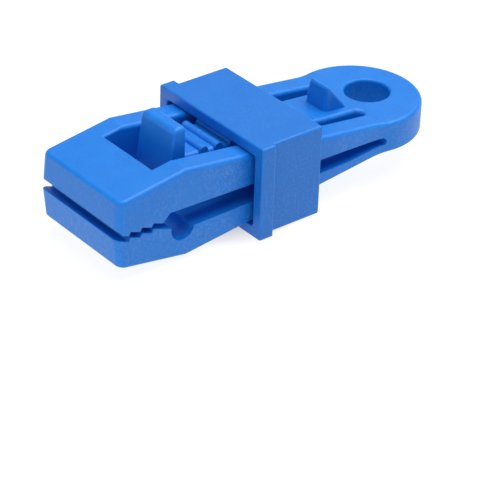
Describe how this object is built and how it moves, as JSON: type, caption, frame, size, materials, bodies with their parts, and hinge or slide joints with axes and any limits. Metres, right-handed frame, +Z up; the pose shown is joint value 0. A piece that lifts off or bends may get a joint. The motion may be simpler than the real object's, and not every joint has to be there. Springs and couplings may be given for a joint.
{
  "type": "tarp clip",
  "caption": "Moulded tarp clip: toothed jaws on two sprung arms with a round eye lug, closed by a sliding rectangular collar with a thumb-tab latch.",
  "frame": {"origin": "centre of the eye hole, on the lug's middle plane", "axes": "+X from the eye towards the jaws, +Y across the arms, +Z up along the eye hole, on the side of the thumb tab"},
  "size_m": [0.08, 0.0318, 0.023],
  "materials": {
    "body_plastic": "bright blue moulded nylon with a fine mottled satin skin",
    "collar_plastic": "bright blue moulded nylon, slightly deeper, fine satin skin"
  },
  "bodies": {
    "body_root": {"eye_lug": "body_plastic", "upper_arm_bend": "body_plastic", "lower_arm_bend": "body_plastic", "tongue_bend": "body_plastic"},
    "upper_jaw": {"upper_jaw_arm": "body_plastic"},
    "lower_jaw": {"lower_jaw_arm": "body_plastic"},
    "tongue": {"latch_tongue": "body_plastic"},
    "collar": {"slide_collar": "collar_plastic"}
  },
  "joints": [
    {"name": "collar_slide", "type": "slide", "parent": "body_root", "child": "collar", "axis": [1, 0, 0], "range_m": [-0.0109, 0.0024]},
    {"name": "upper_jaw_hinge", "type": "hinge", "parent": "body_root", "child": "upper_jaw", "pos_m": [0.009, 0, 0.002], "axis": [0, 1, 0], "range_deg": [-2.5, 0.56], "deforming": ["upper_arm_bend"]},
    {"name": "lower_jaw_hinge", "type": "hinge", "parent": "body_root", "child": "lower_jaw", "pos_m": [0.009, 0, -0.0028], "axis": [0, 1, 0], "range_deg": [-0.56, 2.5], "deforming": ["lower_arm_bend"]},
    {"name": "tongue_flex", "type": "hinge", "parent": "body_root", "child": "tongue", "pos_m": [0.016, 0, 0.0031], "axis": [0, 1, 0], "range_deg": [0, 4], "stiffness_Nm_per_rad": 0.6, "deforming": ["tongue_bend"]}
  ],
  "couplings": [
    {"joint": "upper_jaw_hinge", "follows": "collar_slide", "rad_per_m": 4},
    {"joint": "lower_jaw_hinge", "follows": "collar_slide", "rad_per_m": -4}
  ]
}
